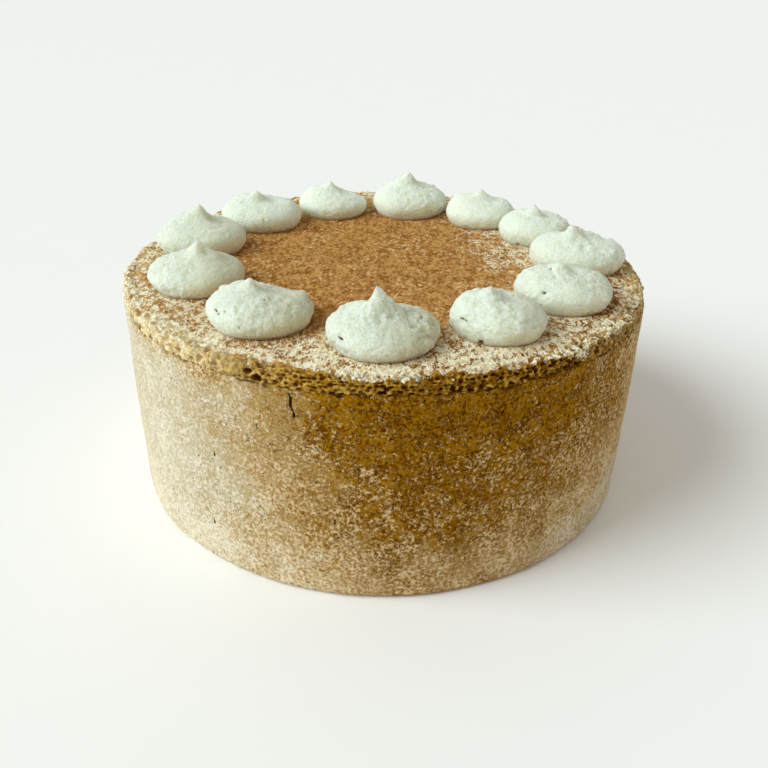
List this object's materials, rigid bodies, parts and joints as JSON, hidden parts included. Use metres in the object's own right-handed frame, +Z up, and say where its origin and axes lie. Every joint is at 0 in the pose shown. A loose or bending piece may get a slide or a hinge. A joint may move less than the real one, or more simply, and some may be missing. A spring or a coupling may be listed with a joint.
{
  "type": "tiramisu cake",
  "caption": "Round uncut tiramisu cake with a sugar-dusted sponge side, an open-crumb sponge disc on top dusted with cocoa and sugar, and a ring of piped cream dollops.",
  "frame": {"origin": "centre of the flat base that the cake stands on", "axes": "+Z up along the cake's axis, -Y towards the viewer's side of the picture, +X to the viewer's right"},
  "size_m": [0.2011, 0.2011, 0.1027],
  "materials": {
    "sponge_skin": "golden brown baked sponge skin with fine pits, lightly dusted with sugar",
    "sponge_crumb": "open sponge crumb at the rim, with cocoa and sugar dusted on top",
    "cream": "matte whipped cream with fine air pits"
  },
  "bodies": {
    "root": {"cake_body": "sponge_skin", "sponge_disc": "sponge_crumb", "cream_dollop_01": "cream", "cream_dollop_02": "cream", "cream_dollop_03": "cream", "cream_dollop_04": "cream", "cream_dollop_05": "cream", "cream_dollop_06": "cream", "cream_dollop_07": "cream", "cream_dollop_08": "cream", "cream_dollop_09": "cream", "cream_dollop_10": "cream", "cream_dollop_11": "cream", "cream_dollop_12": "cream"}
  },
  "joints": []
}
